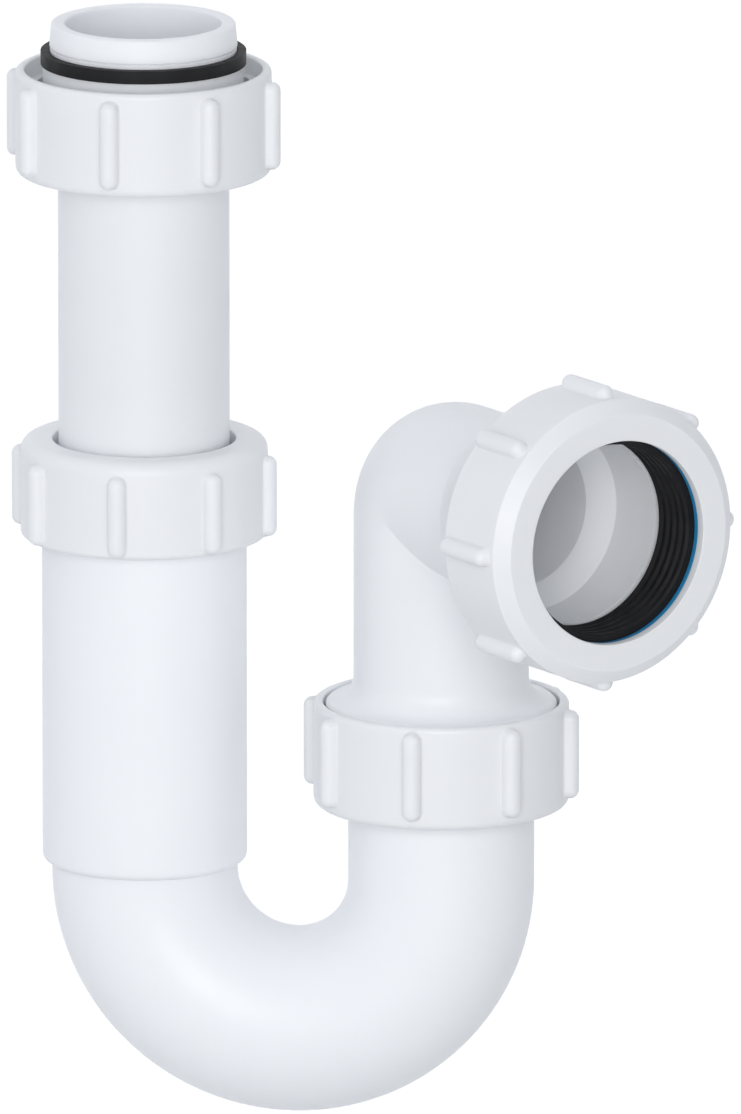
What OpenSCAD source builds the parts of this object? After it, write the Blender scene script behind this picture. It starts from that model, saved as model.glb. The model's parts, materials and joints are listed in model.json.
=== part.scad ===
// Telescopic swivel P trap for a wash basin, in millimetres.
// The origin is the centre of the inlet seat, the plane where the washer meets the basin waste.
// Z is up, and the outlet leg stands along +X from the inlet leg.

/* [Inlet tube] */
// Outer diameter of the sliding inlet tube
inlet_tube_od = 32.8; // [31:0.1:35]
// Wall of the inlet tube
inlet_tube_wall = 1.5; // [1:0.1:2.5]
// Length of the inlet tube below its flange
inlet_tube_len = 99.5; // [94:0.5:110]
// Outer diameter of the spigot that enters the waste
spigot_od = 35.9; // [35:0.1:37]
// Height of the spigot above the seat
spigot_h = 5.4; // [3:0.1:8]
// How far the flange stands out past the spigot
flange_w = 1.3; // [1:0.1:1.8]
// Thickness of the flange
flange_h = 4; // [2:0.1:6]
// Depth of the groove round the spigot's foot that holds the washer
washer_groove = 0.35; // [0.2:0.05:0.6]
// Radius of the spigot's outer top edge
spigot_edge = 0.7; // [0.3:0.1:1.4]

/* [Inlet washer] */
// Radial width of the washer
washer_w = 1.6; // [1:0.1:2.2]
// Thickness of the inlet washer and of the union washer
washer_h = 2.5; // [1.5:0.1:4]

/* [Inlet and union nuts] */
// Diameter of the inlet nut's thread at its root
inlet_thread_d = 41.9; // [41.4:0.1:44]
// Height of each nut
nut_h = 20.2; // [19:0.1:26]
// Wall of each nut outside its thread
nut_wall = 3.55; // [2.8:0.05:5]
// Thickness of each nut's closed end
nut_plate = 3; // [2:0.1:4]
// Step from the thread out to the plain mouth
mouth_step = 1.75; // [1:0.05:2]
// Depth of the plain mouth
mouth_h = 3.5; // [2:0.1:5]
// Radius of the closed end's outer edge
nut_foot = 1.5; // [0.5:0.1:2]
// Drop of the inlet nut's mouth below the washer
inlet_nut_drop = 1.05; // [0.3:0.05:4]
// Turn of the inlet nut's lugs about its axis, in degrees
inlet_nut_turn = -5; // [-22:0.5:22]
// Turn of the union nut's lugs about its axis, in degrees
union_nut_turn = -3.5; // [-22:0.5:22]

/* [Grip lugs] */
// Number of lugs round each nut
lug_n = 8; // [6:1:10]
// Radius of a lug's round section
lug_r = 1.85; // [1.2:0.05:2.2]
// Radius of the flat at each end of a lug
lug_flat_r = 0.3; // [0.2:0.05:0.6]
// Lift of the middle of a lug above its nut's body
lug_lift = 0.8; // [0.1:0.05:1]
// Distance from a nut's mouth to the end of its lugs
lug_open_gap = 0.6; // [0.3:0.1:2]
// Distance from a nut's closed end to the end of its lugs
lug_closed_gap = 2.1; // [1:0.1:4]

/* [Telescope nut] */
// Length of inlet tube that shows between the two nuts
tube_shown = 52; // [45:0.1:54]
// Height of the telescope nut
tele_nut_h = 19.35; // [17:0.05:26]
// Wall of the telescope nut outside its thread
tele_nut_wall = 2.75; // [2.2:0.05:4]
// Thickness of its closed end
tele_plate = 2.5; // [2:0.1:3.5]
// Gap between its bore and the inlet tube
tele_gap = 1.15; // [0.5:0.05:1.8]
// Radius round its closed end
tele_round = 2.4; // [0.5:0.1:2.5]
// Lift of the middle of its lugs above its body
tele_lug_lift = 0.55; // [0.1:0.05:1]
// Distance from its closed end to the end of its lugs
tele_lug_gap = 2.6; // [1:0.1:4]
// Turn of its lugs about its axis, in degrees
tele_nut_turn = -2.5; // [-22:0.5:22]

/* [Body tube] */
// Gap between the inlet tube and the body tube's bore
slide_gap = 1.55; // [1.2:0.05:2.5]
// Wall of the body tube
body_wall = 1.7; // [1.4:0.1:3]
// Length of the body tube
body_len = 74.95; // [70:0.05:100]
// Height of the body tube's thread above its root
thread_h = 1.15; // [0.8:0.05:1.5]
// Length of the body tube's thread
thread_len = 10.5; // [8:0.5:11]
// Radius of the body tube's lower outer edge
body_edge = 1.5; // [0.4:0.1:1.6]

/* [Slip rings and seals] */
// Thickness of the telescope slip ring
tele_ring_h = 1.5; // [1:0.1:2]
// Height of the telescope seal's head
tele_head_h = 4; // [3:0.1:5]
// Height of the telescope seal's tapered skirt
tele_skirt_h = 5; // [4:0.1:7]
// Thickness of the outlet slip ring
outlet_ring_h = 1.1; // [0.8:0.1:2]
// Gap between the outlet slip ring's bore and the waste pipe's bore
outlet_ring_gap = 1; // [0.3:0.1:1.2]
// Height of the outlet seal's head
outlet_head_h = 3; // [2:0.1:4]
// Height of the outlet seal's tapered skirt
outlet_skirt_h = 7.6; // [6:0.1:9]
// Step from the pipe's bore out to the foot of the outlet seal's seat
seat_step = 1.5; // [1:0.1:2]
// Widening of each seal seat from its foot to its mouth
seat_taper = 1.4; // [0.8:0.1:1.8]
// Number of ribs inside each seal
rib_n = 5; // [3:1:7]
// Height of each rib
rib_h = 0.45; // [0.2:0.05:0.6]
// Share of a rib's pitch that is flat at its crest
rib_crest = 0.2; // [0.1:0.05:0.4]
// Share of a rib's pitch that is flat between the ribs
rib_root = 0.3; // [0.1:0.05:0.4]

/* [U bend] */
// Distance between the two legs
leg_spacing = 57.7; // [56:0.1:70]
// Wall of the bend
bend_wall = 2; // [1.5:0.1:2.6]
// Depth of the bend's leg inside the body tube
socket_depth = 12; // [8:0.5:14]
// Drop from the body tube's end to the centre of the bend
bend_drop = 1.65; // [0.5:0.05:10]
// Height of the outlet leg above the centre of the bend
outlet_leg_h = 21.2; // [20:0.1:30]
// How far the leg's end flange stands out
end_flange_w = 2.55; // [1.5:0.05:3]
// Thickness of the end flange
end_flange_h = 3; // [2:0.1:4]

/* [Outlet elbow] */
// Outer diameter of the elbow's tube
elbow_od = 33.6; // [32:0.1:35]
// Wall of the elbow's tube
elbow_wall = 2; // [1.5:0.1:3]
// Height of the outlet's axis above the union washer
elbow_rise = 53.8; // [50:0.05:70]
// Radius of the elbow's bend along its centre line
elbow_bend_r = 5.8; // [3:0.1:10]
// Swing of the outlet towards the front, in degrees
outlet_swing = 46; // [0:1:90]
// Distance from the outlet leg's axis to the face of the outlet nut
outlet_reach = 59.2; // [57:0.1:75]
// Thickness of the flare at its rim
flare_edge = 0.5; // [0.2:0.1:1]

/* [Outlet socket] */
// Bore of the socket that takes the waste pipe
pipe_bore_d = 36.4; // [35:0.1:37.5]
// Depth of the socket from its mouth to the pipe stop
pipe_depth = 20.75; // [18:0.05:24]
// Length of the cone from the pipe stop to the elbow's bore
stop_cone_h = 5.25; // [4:0.05:8]
// Length of the cone outside, from the elbow's tube to the socket
neck_cone_h = 9; // [6:0.1:12]
// Wall of the socket behind its thread
socket_wall = 3.6; // [3:0.1:5]
// Height of the socket's thread above its root
socket_thread_h = 1.25; // [0.8:0.05:1.5]

/* [Outlet nut] */
// Length of the outlet nut
outlet_nut_len = 18.4; // [17:0.1:26]
// Wall of the outlet nut outside its thread
outlet_nut_wall = 4.3; // [2.6:0.05:5]
// Thickness of the lip at its face
lip_h = 1.85; // [1.4:0.05:3]
// Gap between the lip's bore and the waste pipe's bore
lip_gap = 1.3; // [0.8:0.05:2]
// Width of the bevel round its face
face_bevel_w = 2.7; // [1:0.1:3.2]
// Depth of that bevel along the axis
face_bevel_h = 2.2; // [0.5:0.1:3.2]
// Distance from its face to the end of its lugs
outlet_lug_gap = 3.2; // [1:0.1:5]
// Distance from its open end to the end of its lugs
outlet_lug_back = 0.8; // [0.5:0.1:4]
// Lift of the middle of its lugs above its body
outlet_lug_lift = 0.6; // [0.1:0.05:1.4]

/* [Clearances] */
// Radial clearance between a male thread and its nut
thread_clear = 0.15; // [0.1:0.05:0.4]
// Clearance of a nut round the tube it turns on
nut_clear = 0.4; // [0.2:0.05:0.7]
// Radial clearance of a flange inside a nut
flange_clear = 0.55; // [0.4:0.05:0.9]
// Clearance between faces that turn on each other
turn_clear = 0.1; // [0.05:0.01:0.2]
// Clearance of a seal or washer round what it seals
seal_clear = 0.1; // [0.05:0.01:0.2]
// Clearance of a slip ring round what passes through it
ring_clear = 0.4; // [0.2:0.05:0.6]
// Clearance of the bend's leg in the body tube
weld_clear = 0.1; // [0.02:0.02:0.2]

/* [Hidden] */
$fn = 96;
white = "#eef0f6";
rubber = "#1e1e20";
blue = "#1a6eb4";
pale = "#b9bfd2";
eps = 0.5;
soft = 0.5;

// Radii of the inlet leg
tube_r = inlet_tube_od / 2;
spigot_r = spigot_od / 2;
groove_r = spigot_r - washer_groove;
flange_r = spigot_r + flange_w;
body_bore = tube_r + slide_gap;
body_r = body_bore + body_wall;
body_thread_r = body_r + thread_h;
tele_thread_r = body_thread_r + thread_clear;
tele_seat_r = body_bore + seat_taper;
inlet_thread_r = inlet_thread_d / 2;

// Radii of the bend and the union
bend_r = body_bore - weld_clear;
bend_bore = bend_r - bend_wall;
end_flange_r = bend_r + end_flange_w;
union_thread_r = end_flange_r + flange_clear;
union_mouth_r = union_thread_r + mouth_step;

// Radii of the elbow and its socket
elbow_r = elbow_od / 2;
elbow_bore = elbow_r - elbow_wall;
flare_r = union_mouth_r - flange_clear;
pipe_r = pipe_bore_d / 2;
socket_r = pipe_r + socket_wall;
socket_thread_r = socket_r + socket_thread_h;
outlet_thread_r = socket_thread_r + thread_clear;
outlet_nut_r = outlet_thread_r + outlet_nut_wall;
socket_seat_r = pipe_r + seat_step + seat_taper;

// Heights down the inlet leg
inlet_nut_z = -washer_h - inlet_nut_drop - nut_h;
tele_top_z = inlet_nut_z - tube_shown;
tele_ring_z = tele_top_z - tele_plate - turn_clear - tele_ring_h;
body_top_z = tele_ring_z - tele_head_h;
body_end_z = body_top_z - body_len;

// Heights of the bend, the union and the elbow
arc_z = body_end_z - bend_drop;
end_flange_z = arc_z + outlet_leg_h - end_flange_h;
union_nut_z = end_flange_z - turn_clear - nut_plate;
union_washer_z = end_flange_z + end_flange_h;
elbow_z = union_washer_z + washer_h + turn_clear;
flare_top_z = union_nut_z + nut_h;
flare_under_z = flare_top_z - mouth_h + turn_clear;
outlet_z = union_washer_z + washer_h + elbow_rise;

// Distances along the outlet from the outlet leg's axis
face_x = outlet_reach;
outlet_ring_x = face_x - lip_h - turn_clear - outlet_ring_h;
mouth_x = outlet_ring_x - outlet_head_h;
stop_x = mouth_x - pipe_depth;
outlet_nut_x = face_x - outlet_nut_len;

// Points along an arc from angle a to angle b
function arc(x, y, r, a, b, n = 6) = [
    for (i = [0:n])
        let (t = a + (b - a) * i / n)
            [x + r * cos(t), y + r * sin(t)]
];

// Points of the ribs inside a seal, from the height a up to the height b
function ribs(r, a, b) = [
    for (i = [0:rib_n - 1])
        for (p = [[rib_h, rib_root], [0, 1 - rib_crest], [0, 1 + rib_crest], [rib_h, 2 - rib_root]])
            [r + p[0], a + (b - a) * (i + p[1] / 2) / rib_n]
];

// A bar standing on the origin, with round ends that are flat at the tip
module lug(len, r) {
    tip = acos(lug_flat_r / r);
    foot = arc(0, r, r, -tip, 0, 5);
    top = arc(0, len - r, r, 0, tip, 5);
    rotate_extrude($fn = 32)
        polygon(concat([[0, foot[0][1]]], foot, top, [[0, top[5][1]]]));
}

// The lugs round a nut, between the heights a and b
module lugs(r, a, b, turn) {
    for (i = [0:lug_n - 1])
        rotate([0, 0, turn + i * 360 / lug_n])
            translate([r, 0, a])
                lug(b - a, lug_r);
}

// A nut with its closed end at the bottom and a plain mouth above the thread
module ring_nut(bore, thread, turn) {
    r = thread + nut_wall;
    mouth = thread + mouth_step;
    edge = (r - mouth) / 2;
    rotate_extrude()
        polygon(concat(
            [[bore, 0]],
            arc(r - nut_foot, nut_foot, nut_foot, -90, 0),
            arc(r - edge, nut_h - edge, edge, 0, 90),
            arc(mouth + edge / 2, nut_h - edge / 2, edge / 2, 90, 180, 3),
            [[mouth, nut_h - mouth_h], [thread, nut_h - mouth_h], [thread, nut_plate], [bore, nut_plate]]
        ));
    lugs(r + lug_lift, lug_closed_gap, nut_h - lug_open_gap, turn);
}

// A rubber seal with its head up, a tapered skirt below it and ribs inside
module seal(r, head_r, seat_r, head_h, skirt_h) {
    rotate_extrude()
        polygon(concat(
            [[head_r - soft, head_h], [head_r, head_h - soft], [head_r, 0], [seat_r - seal_clear, 0]],
            [[seat_r - seat_taper - seal_clear, -skirt_h]],
            ribs(r, -skirt_h, head_h),
            [[r + rib_h, head_h]]
        ));
}

// A flat ring from the height 0 up to h
module ring(bore, r, h) {
    rotate_extrude()
        translate([bore, 0])
            square([r - bore, h]);
}

// Moves what is drawn along Z to the outlet's axis, with Z = 0 on the outlet leg's axis
module at_outlet() {
    translate([leg_spacing, 0, outlet_z])
        rotate([0, 0, -outlet_swing])
            rotate([0, 90, 0])
                children();
}

// The solid of the U, with legs of the given heights above the centre of the bend
module u_solid(r, inlet_h, outlet_h) {
    translate([leg_spacing / 2, 0, arc_z])
        rotate([90, 0, 0])
            rotate([0, 0, 180])
                rotate_extrude(angle = 180)
                    translate([leg_spacing / 2, 0])
                        circle(r);
    translate([0, 0, arc_z])
        cylinder(r = r, h = inlet_h);
    translate([leg_spacing, 0, arc_z])
        cylinder(r = r, h = outlet_h);
}

// The turn of the elbow, with its inner side cut off at the axis of the turn
module elbow_turn(r) {
    translate([elbow_bend_r, 0, -elbow_bend_r])
        rotate([90, 0, 0])
            rotate([0, 0, 90])
                rotate_extrude(angle = 90)
                    intersection() {
                        translate([elbow_bend_r, 0])
                            circle(r);
                        translate([0, -r])
                            square([elbow_bend_r + r, 2 * r]);
                    }
}

// The outside of the elbow's upright tube, from its threaded foot through the flare
module elbow_leg() {
    a = elbow_z - outlet_z;
    under = flare_under_z - outlet_z;
    top = flare_top_z - outlet_z;
    thread = union_thread_r - thread_clear;
    flare = flare_r - elbow_r - flare_edge;
    rotate_extrude()
        polygon(concat(
            [[0, a], [thread - soft, a], [thread, a + soft], [thread, under]],
            [[flare_r, under], [flare_r, top - flare_edge], [flare_r - flare_edge, top]],
            arc(elbow_r + flare, top + flare, flare, -90, -180, 8),
            [[elbow_r, -elbow_bend_r], [0, -elbow_bend_r]]
        ));
}

// The outside of the elbow's outlet, from the turn out to the socket's mouth
module elbow_socket() {
    thread_x = outlet_nut_x + soft;
    rotate_extrude()
        polygon([
            [0, elbow_bend_r], [elbow_r, elbow_bend_r], [elbow_r, stop_x - neck_cone_h],
            [socket_r, stop_x], [socket_r, thread_x - socket_thread_h],
            [socket_thread_r, thread_x], [socket_thread_r, mouth_x - soft],
            [socket_thread_r - soft, mouth_x], [0, mouth_x]
        ]);
}

// The water way through the elbow's outlet, with the seal's seat at its mouth
module elbow_way() {
    seat_foot = mouth_x - outlet_skirt_h - soft;
    rotate_extrude()
        polygon([
            [0, elbow_bend_r], [elbow_bore, elbow_bend_r], [elbow_bore, stop_x - stop_cone_h],
            [pipe_r, stop_x], [pipe_r, seat_foot],
            [socket_seat_r - seat_taper, seat_foot], [socket_seat_r, mouth_x],
            [socket_seat_r, mouth_x + eps], [0, mouth_x + eps]
        ]);
}

module inlet_tube() {
    bore = tube_r - inlet_tube_wall;
    under = -washer_h - flange_h;
    end = under - inlet_tube_len;
    color(white)
        rotate_extrude()
            polygon(concat(
                [[bore, end], [tube_r - soft, end], [tube_r, end + soft], [tube_r, under - soft]],
                [[tube_r + soft, under], [flange_r, under], [flange_r, -washer_h]],
                [[groove_r, -washer_h], [groove_r, 0], [spigot_r, 0]],
                arc(spigot_r - spigot_edge, spigot_h - spigot_edge, spigot_edge, 0, 90),
                arc(bore + soft, spigot_h - soft, soft, 90, 180, 3)
            ));
}

module inlet_washer() {
    color(rubber)
        rotate_extrude()
            polygon([
                [groove_r + seal_clear, -washer_h], [spigot_r + seal_clear + washer_w, -washer_h],
                [spigot_r + seal_clear + washer_w, 0], [spigot_r + seal_clear, 0],
                [groove_r + seal_clear, -washer_groove]
            ]);
}

module inlet_nut() {
    color(white)
        translate([0, 0, inlet_nut_z])
            ring_nut(tube_r + nut_clear, inlet_thread_r, inlet_nut_turn);
}

module telescope_nut() {
    r = tele_thread_r + tele_nut_wall;
    bore = tube_r + tele_gap;
    foot = tele_top_z - tele_nut_h;
    color(white) {
        rotate_extrude()
            polygon(concat(
                [[tele_thread_r + soft, foot], [r - 2 * soft, foot], [r, foot + 2 * soft]],
                arc(r - tele_round, tele_top_z - tele_round, tele_round, 0, 90),
                [[bore, tele_top_z], [bore, tele_top_z - tele_plate]],
                [[tele_thread_r, tele_top_z - tele_plate], [tele_thread_r, foot + soft]]
            ));
        lugs(r + tele_lug_lift, foot + lug_open_gap, tele_top_z - tele_lug_gap, tele_nut_turn);
    }
}

module telescope_slip_ring() {
    color(pale)
        translate([0, 0, tele_ring_z])
            ring(tube_r + ring_clear, tele_thread_r - ring_clear, tele_ring_h);
}

module telescope_seal() {
    head_r = tele_thread_r - ring_clear;
    color(rubber)
        translate([0, 0, body_top_z])
            seal(tube_r + seal_clear, head_r, tele_seat_r, tele_head_h, tele_skirt_h);
}

module body_tube() {
    seat_foot = body_top_z - tele_skirt_h - soft;
    run_out = body_top_z - thread_len;
    thread_x = body_thread_r - soft;
    color(white)
        rotate_extrude()
            polygon(concat(
                [[body_bore, body_end_z]],
                arc(body_r - body_edge, body_end_z + body_edge, body_edge, -90, 0),
                [[body_r, run_out - thread_h], [body_thread_r, run_out]],
                [[body_thread_r, body_top_z - soft], [thread_x, body_top_z]],
                [[tele_seat_r, body_top_z], [body_bore, seat_foot]]
            ));
}

module u_bend() {
    inlet_h = body_end_z + socket_depth - arc_z;
    color(white)
        difference() {
            union() {
                u_solid(bend_r, inlet_h, outlet_leg_h);
                translate([leg_spacing, 0, end_flange_z])
                    cylinder(r = end_flange_r, h = end_flange_h);
            }
            u_solid(bend_bore, inlet_h + eps, outlet_leg_h + eps);
        }
}

module union_nut() {
    color(white)
        translate([leg_spacing, 0, union_nut_z])
            ring_nut(bend_r + nut_clear, union_thread_r, union_nut_turn);
}

module union_washer() {
    color(rubber)
        translate([leg_spacing, 0, union_washer_z])
            ring(bend_bore + ring_clear, end_flange_r - seal_clear, washer_h);
}

module outlet_elbow() {
    color(white)
        translate([leg_spacing, 0, outlet_z])
            rotate([0, 0, -outlet_swing])
                difference() {
                    union() {
                        elbow_leg();
                        elbow_turn(elbow_r);
                        rotate([0, 90, 0])
                            elbow_socket();
                    }
                    union() {
                        translate([0, 0, elbow_z - outlet_z - eps])
                            cylinder(r = elbow_bore, h = outlet_z - elbow_z + eps - elbow_bend_r);
                        elbow_turn(elbow_bore);
                        rotate([0, 90, 0])
                            elbow_way();
                    }
                }
}

module outlet_nut() {
    lip_bore = pipe_r + lip_gap;
    bevel_x = face_x - face_bevel_h;
    lug_r_mid = outlet_nut_r + outlet_lug_lift;
    color(white)
        at_outlet() {
            rotate_extrude()
                polygon([
                    [outlet_thread_r + soft, outlet_nut_x], [outlet_nut_r - soft, outlet_nut_x],
                    [outlet_nut_r, outlet_nut_x + soft], [outlet_nut_r, bevel_x],
                    [outlet_nut_r - face_bevel_w, face_x], [lip_bore + soft, face_x],
                    [lip_bore, face_x - soft], [lip_bore, face_x - lip_h],
                    [outlet_thread_r, face_x - lip_h], [outlet_thread_r, outlet_nut_x + soft]
                ]);
            lugs(lug_r_mid, outlet_nut_x + outlet_lug_back, face_x - outlet_lug_gap, 0);
        }
}

module outlet_slip_ring() {
    color(blue)
        at_outlet()
            translate([0, 0, outlet_ring_x])
                ring(pipe_r + outlet_ring_gap, outlet_thread_r - ring_clear, outlet_ring_h);
}

module outlet_seal() {
    head_r = outlet_thread_r - ring_clear;
    color(rubber)
        at_outlet()
            translate([0, 0, mouth_x])
                seal(pipe_r + seal_clear, head_r, socket_seat_r, outlet_head_h, outlet_skirt_h);
}

inlet_tube();
inlet_washer();
inlet_nut();
telescope_nut();
telescope_slip_ring();
telescope_seal();
body_tube();
u_bend();
union_nut();
union_washer();
outlet_elbow();
outlet_nut();
outlet_slip_ring();
outlet_seal();
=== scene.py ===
"""A telescopic basin trap in white plastic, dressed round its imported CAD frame."""

import json
import math

import bmesh
import bpy
import numpy as np
from mathutils import Matrix, Vector


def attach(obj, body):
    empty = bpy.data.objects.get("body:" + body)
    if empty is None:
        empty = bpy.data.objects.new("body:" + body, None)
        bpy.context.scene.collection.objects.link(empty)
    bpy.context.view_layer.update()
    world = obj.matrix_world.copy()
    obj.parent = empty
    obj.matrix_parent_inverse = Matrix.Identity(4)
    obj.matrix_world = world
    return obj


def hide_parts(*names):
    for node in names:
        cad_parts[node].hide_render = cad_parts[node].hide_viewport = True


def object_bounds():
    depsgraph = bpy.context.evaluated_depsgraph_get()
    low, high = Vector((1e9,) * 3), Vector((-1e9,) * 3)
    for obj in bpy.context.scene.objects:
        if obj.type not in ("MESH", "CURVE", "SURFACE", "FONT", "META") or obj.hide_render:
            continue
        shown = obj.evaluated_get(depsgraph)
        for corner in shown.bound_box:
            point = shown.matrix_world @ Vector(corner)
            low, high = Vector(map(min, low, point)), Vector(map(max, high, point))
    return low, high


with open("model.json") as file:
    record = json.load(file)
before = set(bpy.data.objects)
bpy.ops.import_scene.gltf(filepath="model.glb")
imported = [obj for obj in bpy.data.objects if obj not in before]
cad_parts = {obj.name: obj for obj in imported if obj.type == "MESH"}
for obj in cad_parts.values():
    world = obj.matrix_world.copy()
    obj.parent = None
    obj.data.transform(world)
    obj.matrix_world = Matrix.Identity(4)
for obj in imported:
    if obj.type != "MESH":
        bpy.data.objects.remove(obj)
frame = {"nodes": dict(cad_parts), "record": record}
cad_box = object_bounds()

MM = 0.001
TAU = 2 * math.pi

# ---------------------------------------------------------------- camera
# The photograph looks a little down and from the left, from far away.
PHOTO_H = 1114
PX_PER_M = 5240
VIEW_AZ, VIEW_EL = math.radians(9.6), math.radians(13.3)
AIM_RIGHT, AIM_UP = 43.34 * MM, -96.8 * MM
LENS, SENSOR = 900, 36

toward = Vector((
    math.sin(VIEW_AZ) * math.cos(VIEW_EL),
    -math.cos(VIEW_AZ) * math.cos(VIEW_EL),
    math.sin(VIEW_EL),
))
right = Vector((math.cos(VIEW_AZ), math.sin(VIEW_AZ), 0))
up = toward.cross(right)
aim = right * AIM_RIGHT + up * AIM_UP
distance = LENS / SENSOR * PHOTO_H / PX_PER_M

cam = bpy.data.objects.new("camera", bpy.data.cameras.new("camera"))
cam.data.lens, cam.data.sensor_width = LENS, SENSOR
cam.data.clip_end = 3 * distance
cam.location = aim + toward * distance
cam.rotation_euler = (-toward).to_track_quat("-Z", "Y").to_euler()
bpy.context.scene.collection.objects.link(cam)
bpy.context.scene.camera = cam
bpy.context.scene.view_settings.view_transform = "Standard"


# ---------------------------------------------------------------- materials
def tree(name):
    """A new material, its node tree and its shader."""
    mat = bpy.data.materials.new(name)
    mat.use_nodes = True
    return mat, mat.node_tree, mat.node_tree.nodes["Principled BSDF"]


def add(nt, kind, **values):
    """A node with its sockets and settings filled in."""
    node = nt.nodes.new("ShaderNode" + kind)
    for key, value in values.items():
        if key in node.inputs:
            node.inputs[key].default_value = value
        else:
            setattr(node, key, value)
    return node


def noise(nt, scale, detail=3, rough=0.5):
    """A noise over the piece in metres, so that its grain keeps its size."""
    place = add(nt, "TexCoord")
    tex = add(nt, "TexNoise", Scale=scale, Detail=detail, Roughness=rough)
    nt.links.new(place.outputs["Object"], tex.inputs["Vector"])
    return tex.outputs["Fac"]


def spread(nt, fac, low, high):
    """Maps a noise to the range from low to high."""
    node = add(nt, "MapRange")
    for key, value in {"From Min": 0.3, "From Max": 0.7, "To Min": low, "To Max": high}.items():
        node.inputs[key].default_value = value
    nt.links.new(fac, node.inputs["Value"])
    return node.outputs["Result"]


def moulded(name, dark, light, rough, grain, depth, cloud=60, specular=0.5):
    """A moulded plastic or rubber: clouded colour, uneven gloss and a fine grain."""
    mat, nt, shader = tree(name)
    mix = add(nt, "Mix", data_type="RGBA")
    mix.inputs["A"].default_value = (*dark, 1)
    mix.inputs["B"].default_value = (*light, 1)
    nt.links.new(spread(nt, noise(nt, cloud), 0, 1), mix.inputs["Factor"])
    nt.links.new(mix.outputs["Result"], shader.inputs["Base Color"])
    nt.links.new(spread(nt, noise(nt, 2.5 * cloud, 4), rough[0], rough[1]), shader.inputs["Roughness"])
    bump = add(nt, "Bump", Strength=0.35, Distance=depth)
    nt.links.new(noise(nt, grain, 2), bump.inputs["Height"])
    nt.links.new(bump.outputs["Normal"], shader.inputs["Normal"])
    shader.inputs["Specular IOR Level"].default_value = specular
    return mat


def white(name, tone, weight, depth):
    """The trap's white plastic, which lets some light through its walls."""
    dark, light = ([a * b for a, b in zip(tone, c)] for c in ((0.925, 0.936, 0.962), (0.94, 0.95, 0.974)))
    mat = moulded(name, dark, light, (0.33, 0.42), 2600, 0.00002, 60, 0.4)
    shader = mat.node_tree.nodes["Principled BSDF"]
    shader.inputs["Subsurface Weight"].default_value = weight
    shader.inputs["Subsurface Radius"].default_value = (1, 1, 1)
    shader.inputs["Subsurface Scale"].default_value = depth
    return mat


WHITE = white("white_plastic", (1, 1, 1), 0.3, 2 * MM)
WHITE_TUBE = white("white_plastic_tube", (1, 1, 1), 0.55, 4 * MM)
WHITE_NUT = white("white_plastic_nut", (0.92, 0.912, 0.895), 0.3, 2 * MM)
RUBBER = moulded("black_rubber", (0.005, 0.005, 0.006), (0.01, 0.01, 0.012), (0.5, 0.66), 3400, 0.00004, 90, 0.22)
BLUE = moulded("blue_plastic", (0.02, 0.25, 0.5), (0.026, 0.28, 0.55), (0.32, 0.44), 2600, 0.00002)
PALE = moulded("pale_plastic", (0.62, 0.66, 0.82), (0.65, 0.69, 0.86), (0.34, 0.46), 2600, 0.00002)
LOOK = {"white_plastic": WHITE, "black_rubber": RUBBER, "blue_plastic": BLUE, "pale_plastic": PALE}

for part in frame["record"]["subparts"]:
    cad = frame["nodes"][part["node"]]
    for place in cad.material_slots:
        place.material = LOOK[part["material_slot"]]


# ---------------------------------------------------------------- floor, light
FLOOR_SIZE = 6.0
FLOOR_TONE, FLOOR_GLOW, FLOOR_SEEN = 0.72, 0.48, 0.8
FLOOR_GAP = 14.5 * MM  # the trap hangs, and slides down by 14 mm
KEY, KEY_TURN, KEY_EL, KEY_DISTANCE, KEY_SIZE = 0.46, 0, math.radians(11), 2.5, 1.4
FRONT = Vector((math.sin(VIEW_AZ), -math.cos(VIEW_AZ), 0))
SKY = ((FRONT, 0.36), (-FRONT, 0.86), (-right, 0.56), (right, 0.13), (Vector((0, 0, 1)), 0.47))


def seen_directly(nt):
    """One for what the camera, a reflection or a see-through surface shows, else nought."""
    path = add(nt, "LightPath")
    total = path.outputs["Is Camera Ray"]
    for other in ("Is Glossy Ray", "Is Transmission Ray"):
        most = add(nt, "Math", operation="MAXIMUM")
        nt.links.new(total, most.inputs[0])
        nt.links.new(path.outputs[other], most.inputs[1])
        total = most.outputs[0]
    return total


def make_floor():
    mat = bpy.data.materials.new("floor")
    mat.use_nodes = True
    nt = mat.node_tree
    nt.nodes.clear()
    plain = add(nt, "BsdfDiffuse", Color=(FLOOR_TONE,) * 3 + (1,))
    pale = add(nt, "BsdfDiffuse", Color=(FLOOR_SEEN,) * 3 + (1,))
    glow = add(nt, "Emission", Color=(1, 1, 1, 1), Strength=FLOOR_GLOW)
    both, mix, out = add(nt, "AddShader"), add(nt, "MixShader"), add(nt, "OutputMaterial")
    nt.links.new(pale.outputs[0], both.inputs[0])
    nt.links.new(glow.outputs[0], both.inputs[1])
    nt.links.new(seen_directly(nt), mix.inputs[0])
    nt.links.new(plain.outputs[0], mix.inputs[1])
    nt.links.new(both.outputs[0], mix.inputs[2])
    nt.links.new(mix.outputs[0], out.inputs["Surface"])
    bm = bmesh.new()
    bmesh.ops.create_grid(bm, x_segments=8, y_segments=8, size=FLOOR_SIZE / 2)
    mesh = bpy.data.meshes.new("floor")
    bm.to_mesh(mesh)
    bm.free()
    mesh.materials.append(mat)
    floor = bpy.data.objects.new("floor", mesh)
    floor.location.z = cad_box[0].z - FLOOR_GAP
    bpy.context.scene.collection.objects.link(floor)


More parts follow.
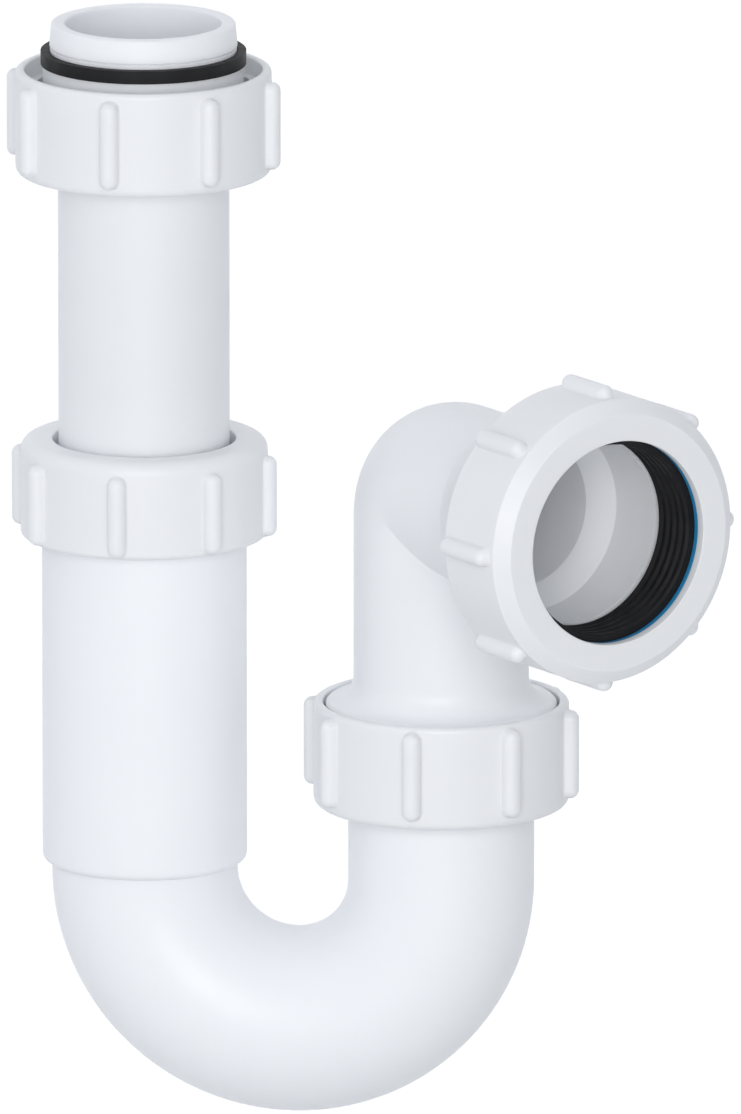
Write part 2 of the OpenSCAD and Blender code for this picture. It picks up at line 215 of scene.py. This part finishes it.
def sky_strength(nt):
    """The light from each direction, made of one soft lobe per side."""
    place = add(nt, "TexCoord")
    total = None
    for way, level in SKY:
        dot = add(nt, "VectorMath", operation="DOT_PRODUCT")
        dot.inputs[1].default_value = way
        lobe = add(nt, "MapRange")
        lobe.inputs["To Max"].default_value = level
        nt.links.new(place.outputs["Generated"], dot.inputs[0])
        nt.links.new(dot.outputs["Value"], lobe.inputs["Value"])
        if total:
            both = add(nt, "Math", operation="ADD")
            nt.links.new(total, both.inputs[0])
            nt.links.new(lobe.outputs["Result"], both.inputs[1])
            total = both.outputs[0]
        else:
            total = lobe.outputs["Result"]
    return total


def make_world():
    world = bpy.data.worlds.new("studio")
    bpy.context.scene.world = world
    world.use_nodes = True
    nt = world.node_tree
    nt.nodes.clear()
    light = add(nt, "Background", Color=(0.905, 0.943, 1, 1))
    nt.links.new(sky_strength(nt), light.inputs["Strength"])
    white = add(nt, "Background", Color=(1, 1, 1, 1), Strength=1)
    mix, out = add(nt, "MixShader"), add(nt, "OutputWorld")
    nt.links.new(seen_directly(nt), mix.inputs[0])
    nt.links.new(light.outputs[0], mix.inputs[1])
    nt.links.new(white.outputs[0], mix.inputs[2])
    nt.links.new(mix.outputs[0], out.inputs["Surface"])


def make_lamp(name, turn, height, far, size, share):
    """A square soft lamp whose light on a surface facing it is a share of the full level."""
    az = VIEW_AZ + turn
    way = Vector((math.sin(az) * math.cos(height), -math.cos(az) * math.cos(height), math.sin(height)))
    lamp = bpy.data.lights.new(name, "AREA")
    lamp.shape, lamp.size = "SQUARE", size
    lamp.energy = share * (math.pi * far) ** 2
    obj = bpy.data.objects.new(name, lamp)
    obj.location = aim + way * far
    obj.rotation_euler = (-way).to_track_quat("-Z", "Y").to_euler()
    obj.visible_camera = False
    bpy.context.scene.collection.objects.link(obj)


make_floor()
make_world()
make_lamp("key", KEY_TURN, KEY_EL, KEY_DISTANCE, KEY_SIZE, KEY)


# ---------------------------------------------------------------- nuts
LUG_N = 8
LUG_R = 1.72 * MM
LUG_FILLET = 0.4 * MM
NEAR = 0.08 * MM


def arc(r, z, radius, a, b, n=6):
    """Points of an arc, with its angles in degrees."""
    steps = [math.radians(a + (b - a) * i / n) for i in range(n + 1)]
    return [(r + radius * math.cos(t), z + radius * math.sin(t)) for t in steps]


def ring_faces(n, m):
    """Faces between n sections of m points each, closed both ways."""
    i, j = np.meshgrid(np.arange(n), np.arange(m), indexing="ij")
    i2, j2 = (i + 1) % n, (j + 1) % m
    return np.stack([i * m + j, i2 * m + j, i2 * m + j2, i * m + j2], axis=2).reshape(-1, 4)


def lug_section(lift):
    """A lug's reach, the distance where its fillet starts, and steps across both."""
    reach = math.sqrt((LUG_R + LUG_FILLET) ** 2 - (LUG_FILLET - lift) ** 2)
    steep = math.asin(reach / (LUG_R + LUG_FILLET))
    start = LUG_R * math.sin(steep)
    top = [LUG_R * math.sin(steep * i / 9) for i in range(10)]
    foot = [reach - LUG_FILLET * math.sin(steep * (5 - i) / 5) for i in range(1, 6)]
    return reach, start, np.array(top + foot)


def wall_rows(low, high, lug_from, lug_to, lift):
    """Heights along a nut's wall, close together at the ends of its lugs."""
    steps = lug_section(lift)[2]
    ends = np.concatenate([lug_from + LUG_R - steps, lug_to - LUG_R + steps])
    middle = np.linspace(lug_from + LUG_R, lug_to - LUG_R, 6)
    rows = np.unique(np.round(np.concatenate([ends, middle]), 7))
    return [z for z in rows if low + NEAR / 2 < z < high - NEAR / 2]


def raise_lugs(r, s, wall_r, lift):
    """Radius of a nut's outside at the distance s from a lug's middle line."""
    reach, start, _ = lug_section(lift)
    top = wall_r + lift + np.sqrt(np.maximum(LUG_R**2 - s**2, 0))
    foot = LUG_FILLET - np.sqrt(np.maximum(LUG_FILLET**2 - (reach - s) ** 2, 0))
    full = lift + math.sqrt(LUG_R**2 - start**2)
    side = r + foot / full * (wall_r + full - r)
    return np.where(s < start, top, np.where(s < reach, side, r))


def turned(outside, inside, wall_r, lift, lug_from, lug_to, turn):
    """A nut turned from points (r, z), with lugs raised on the points of its outside."""
    loop = np.array(outside + inside)
    side = lug_section(lift)[2] / wall_r
    side = np.concatenate([side, np.linspace(side[-1], math.pi / LUG_N, 6)[1:]])
    one = np.concatenate([-side[::-1], side[1:-1]])
    angles = np.concatenate([one + turn + TAU * k / LUG_N for k in range(LUG_N)])
    off = np.concatenate([one] * LUG_N) * wall_r
    along = np.maximum(np.maximum(lug_from + LUG_R - loop[:, 1], loop[:, 1] - lug_to + LUG_R), 0)
    r = np.broadcast_to(loop[None, :, 0], (len(angles), len(loop)))
    apart = np.hypot(off[:, None], along[None, :])
    is_outside = (np.arange(len(loop)) < len(outside))[None, :]
    r = np.where(is_outside, raise_lugs(r, apart, wall_r, lift), r)
    x, y = r * np.cos(angles)[:, None], r * np.sin(angles)[:, None]
    z = np.broadcast_to(loop[None, :, 1], r.shape)
    points = np.stack([x, y, z], axis=2).reshape(-1, 3)
    return points, ring_faces(*r.shape)


def revolved(loop, n=144):
    """A plain solid turned from a closed loop of points (r, z)."""
    loop = np.array(loop)
    angles = np.linspace(0, TAU, n, endpoint=False)
    x, y = np.cos(angles)[:, None] * loop[None, :, 0], np.sin(angles)[:, None] * loop[None, :, 0]
    z = np.broadcast_to(loop[None, :, 1], x.shape)
    return np.stack([x, y, z], axis=2).reshape(-1, 3), ring_faces(n, len(loop))


def piece(name, points, faces, place, body, slot, stands_for=(), sharp=60, look=None):
    """A shown piece made from points and faces, put in place and tied to its body."""
    mesh = bpy.data.meshes.new(name)
    mesh.from_pydata([tuple(p) for p in points], [], [tuple(int(v) for v in f) for f in faces])
    mesh.transform(place)
    mesh.update()
    bm = bmesh.new()
    bm.from_mesh(mesh)
    bmesh.ops.recalc_face_normals(bm, faces=bm.faces)
    bm.to_mesh(mesh)
    bm.free()
    mesh.shade_smooth()
    mesh.set_sharp_from_angle(angle=math.radians(sharp))
    mesh.materials.append(look or LOOK[slot])
    obj = bpy.data.objects.new(name, mesh)
    bpy.context.scene.collection.objects.link(obj)
    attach(obj, body)
    if stands_for:
        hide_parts(*stands_for)
    return obj


LEG_X, OUTLET_Z, SWING = 57.7 * MM, -82.95 * MM, math.radians(-46)
OUTLET = (Matrix.Translation((LEG_X, 0, OUTLET_Z)) @ Matrix.Rotation(SWING, 4, "Z")
          @ Matrix.Rotation(math.pi / 2, 4, "Y"))
NUT_H, NUT_WALL, NUT_PLATE, NUT_FOOT = 20.2 * MM, 3.55 * MM, 3 * MM, 1.5 * MM
MOUTH_STEP, MOUTH_H = 1.75 * MM, 3.5 * MM
LUG_LIFT = 0.8 * MM


def ring_nut(name, bore, thread, turn, lug_from, lug_gap, place, body):
    """A nut with a closed end at its bottom and a plain mouth above its thread."""
    r, mouth = thread + NUT_WALL, thread + MOUTH_STEP
    edge = (r - mouth) / 2
    lug_to = NUT_H - lug_gap
    rows = wall_rows(NUT_FOOT, NUT_H - edge, lug_from, lug_to, LUG_LIFT)
    outside = arc(r - NUT_FOOT, NUT_FOOT, NUT_FOOT, -90, 0, 8)
    outside += [(r, z) for z in rows]
    outside += arc(r - edge, NUT_H - edge, edge, 0, 90)
    inside = arc(mouth + edge / 2, NUT_H - edge / 2, edge / 2, 90, 180, 5)
    inside += [(mouth, NUT_H - MOUTH_H), (thread, NUT_H - MOUTH_H), (thread, NUT_PLATE)]
    inside += [(bore, NUT_PLATE), (bore, 0.3 * MM), (bore + 0.3 * MM, 0)]
    inside += [(r - NUT_FOOT - 2 * NEAR, 0)]
    points, faces = turned(outside, inside, r, LUG_LIFT, lug_from, lug_to, math.radians(turn))
    piece(name, points, faces, place, body, "white_plastic", [body], look=WHITE_NUT)


ring_nut("inlet_nut_dressed", 16.8 * MM, 20.95 * MM, -5, 1.75 * MM, 1.35 * MM,
         Matrix.Translation((0, 0, -23.75 * MM)), "inlet_nut")
ring_nut("union_nut_dressed", 18.25 * MM, 20.95 * MM, -3.5, 2.1 * MM, 0.8 * MM,
         Matrix.Translation((LEG_X, 0, -145.35 * MM)), "union_nut")


def telescope_nut():
    """The nut of the telescopic joint, with its closed end at the top."""
    thread, r, bore, round_r = 20.95 * MM, 23.7 * MM, 17.55 * MM, 2.4 * MM
    foot, top, plate, soft = -94.7 * MM, -75.75 * MM, 2.5 * MM, 0.5 * MM
    lift, lug_from, lug_to = 0.55 * MM, foot + 0.6 * MM, top - 2.6 * MM
    rows = wall_rows(foot + 2 * soft, top - round_r, lug_from, lug_to, lift)
    outside = arc(r - 2 * soft, foot + 2 * soft, 2 * soft, -90, 0)
    outside += [(r, z) for z in rows]
    outside += arc(r - round_r, top - round_r, round_r, 0, 90, 10)
    inside = [(r - round_r - 2 * NEAR, top), (bore + 0.45 * MM, top)]
    inside += arc(bore + 0.4 * MM, top - 0.4 * MM, 0.4 * MM, 90, 180, 4)
    inside += [(bore, top - plate), (thread, top - plate), (thread, foot + soft), (thread + soft, foot)]
    inside += [(r - 2 * soft - 2 * NEAR, foot)]
    points, faces = turned(outside, inside, r, lift, lug_from, lug_to, math.radians(-2.5))
    piece("telescope_nut_dressed", points, faces, Matrix.Identity(4), "telescope_nut",
          "white_plastic", ["telescope_nut"], look=WHITE_NUT)


telescope_nut()


def outlet_nut():
    """The nut of the outlet, with a lip and a broad bevel round its face."""
    thread, r, lip = 23.2 * MM, 27.5 * MM, 19.68 * MM
    face, back, lip_h = 59.2 * MM, 40.8 * MM, 1.85 * MM
    bevel_w, bevel_h, soft = 2.7 * MM, 2.2 * MM, 0.5 * MM
    lift, lug_from, lug_to = 0.6 * MM, back + 0.8 * MM, face - 3.2 * MM
    rows = wall_rows(back + soft, face - bevel_h, lug_from, lug_to, lift)
    slope = math.degrees(math.atan2(bevel_w, bevel_h))
    turn_r = 0.25 * MM
    near = turn_r * math.tan(math.radians(slope) / 2)
    far = turn_r * math.tan(math.radians(90 - slope) / 2)
    outside = arc(r - soft, back + soft, soft, -90, 0, 5)
    outside += [(r, z) for z in rows if z < face - bevel_h - near]
    outside += arc(r - turn_r, face - bevel_h - near, turn_r, 0, slope, 5)
    outside += arc(r - bevel_w - far, face - turn_r, turn_r, slope, 90, 5)
    inside = [(r - bevel_w - far - 2 * NEAR, face), (lip + 0.25 * MM, face)]
    inside += arc(lip + 0.2 * MM, face - 0.2 * MM, 0.2 * MM, 90, 180, 5)
    inside += [(lip, face - lip_h), (thread, face - lip_h), (thread, back + soft), (thread + soft, back)]
    inside += [(r - soft - 2 * NEAR, back)]
    points, faces = turned(outside, inside, r, lift, lug_from, lug_to, 0)
    piece("outlet_nut_dressed", points, faces, OUTLET, "outlet_nut", "white_plastic", ["outlet_nut"],
          look=WHITE_NUT)


outlet_nut()


# ---------------------------------------------------------------- inlet tube, slip ring, elbow
def millimetres(points):
    return [(r * MM, z * MM) for r, z in points]


def inlet_tube():
    """The sliding tube, with a slightly tapered spigot and a bead under it."""
    loop = [(14.9, -105.7), (15.2, -106), (15.9, -106), (16.4, -105.5), (16.4, -7.4)]
    loop += arc(17.2, -7.3, 0.8, 180, 90)
    loop += [(17.3, -6.5), (18.9, -6.5)] + arc(18.95, -6.2, 0.3, -90, 0, 4)
    loop += [(19.25, -2.8)] + arc(19.05, -2.7, 0.2, 0, 90, 4)
    loop += [(17.6, -2.5), (17.6, -0.3), (17.85, -0.05), (17.85, 0.5)]
    loop += arc(17.65, 0.5, 0.2, 0, 90, 4)
    loop += [(17.5, 0.72), (17.5, 0.9)] + arc(17.75, 1.1, 0.2, -90, -4, 4)
    loop += [(17.945, 1.25), (17.64, 4.9)] + arc(17.2, 4.95, 0.45, 4, 90)
    loop += [(17.1, 5.4), (15.4, 5.4)] + arc(15.35, 4.95, 0.45, 90, 180)
    points, faces = revolved(millimetres(loop + [(14.9, 4.8)]))
    piece("inlet_tube_dressed", points, faces, Matrix.Identity(4), "inlet", "white_plastic",
          ["inlet_tube"], 30, WHITE_TUBE)


inlet_tube()


def slip_ring():
    """The blue ring behind the lip of the outlet nut, a little wider than the lip."""
    back, front, bore, r = 56.15, 57.25, 19.76, 22.8
    loop = [(bore, back), (r, back), (r, front), (bore + 0.15, front), (bore, front - 0.15)]
    points, faces = revolved(millimetres(loop))
    piece("outlet_slip_ring_dressed", points, faces, OUTLET, "elbow", "blue_plastic",
          ["outlet_slip_ring"], 30)


slip_ring()


def elbow():
    """The elbow with a smooth flare, and with its neck moved on behind the outlet nut."""
    mesh = frame["nodes"]["outlet_elbow"].data.copy()
    mesh.name = "outlet_elbow_dressed"
    place = np.empty(3 * len(mesh.vertices))
    mesh.vertices.foreach_get("co", place)
    place = place.reshape(-1, 3)
    normals = np.empty(3 * len(mesh.loops))
    mesh.corner_normals.foreach_get("vector", normals)
    normals = normals.reshape(-1, 3)
    corner = np.empty(len(mesh.loops), dtype=np.int64)
    mesh.loops.foreach_get("vertex_index", corner)

    tube_r, move = 16.8 * MM, 2.2 * MM
    axis = np.array([math.cos(SWING), math.sin(SWING), 0])
    off = place - np.array([LEG_X, 0, OUTLET_Z])
    along = off @ axis
    r = np.linalg.norm(off - along[:, None] * axis, axis=1)
    for at, neck_r in ((23.4 * MM, tube_r), (32.4 * MM, 21.8 * MM)):
        moved = (np.abs(along - at) < 0.02 * MM) & (np.abs(r - neck_r) < 0.02 * MM)
        place[moved] += move * axis

    flare_z, flare = -125.15 * MM, 4.85 * MM
    flat = place[:, :2] - np.array([LEG_X, 0])
    leg_r = np.linalg.norm(flat, axis=1)
    height = place[:, 2] - flare_z
    near = (height > -0.01 * MM) & (height < flare + 0.01 * MM)
    near &= (leg_r > tube_r - 0.01 * MM) & (leg_r < tube_r + flare + 0.01 * MM)
    starts = np.empty(len(mesh.polygons), dtype=np.int64)
    totals = np.empty(len(mesh.polygons), dtype=np.int64)
    mesh.polygons.foreach_get("loop_start", starts)
    mesh.polygons.foreach_get("loop_total", totals)
    whole = np.repeat(np.minimum.reduceat(near[corner].astype(int), starts) > 0, totals)
    inward = (tube_r + flare - leg_r) / flare
    rising = (flare - height) / flare
    turn = np.stack([flat[:, 0] / leg_r * inward, flat[:, 1] / leg_r * inward, rising], axis=1)
    turn /= np.linalg.norm(turn, axis=1)[:, None]
    whole &= (normals * turn[corner]).sum(axis=1) > 0.9
    normals[whole] = turn[corner][whole]

    mesh.vertices.foreach_set("co", place.ravel())
    mesh.normals_split_custom_set([tuple(n) for n in normals])
    mesh.update()
    mesh.materials[0] = WHITE_TUBE
    obj = bpy.data.objects.new("outlet_elbow_dressed", mesh)
    bpy.context.scene.collection.objects.link(obj)
    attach(obj, "elbow")
    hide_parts("outlet_elbow")


elbow()
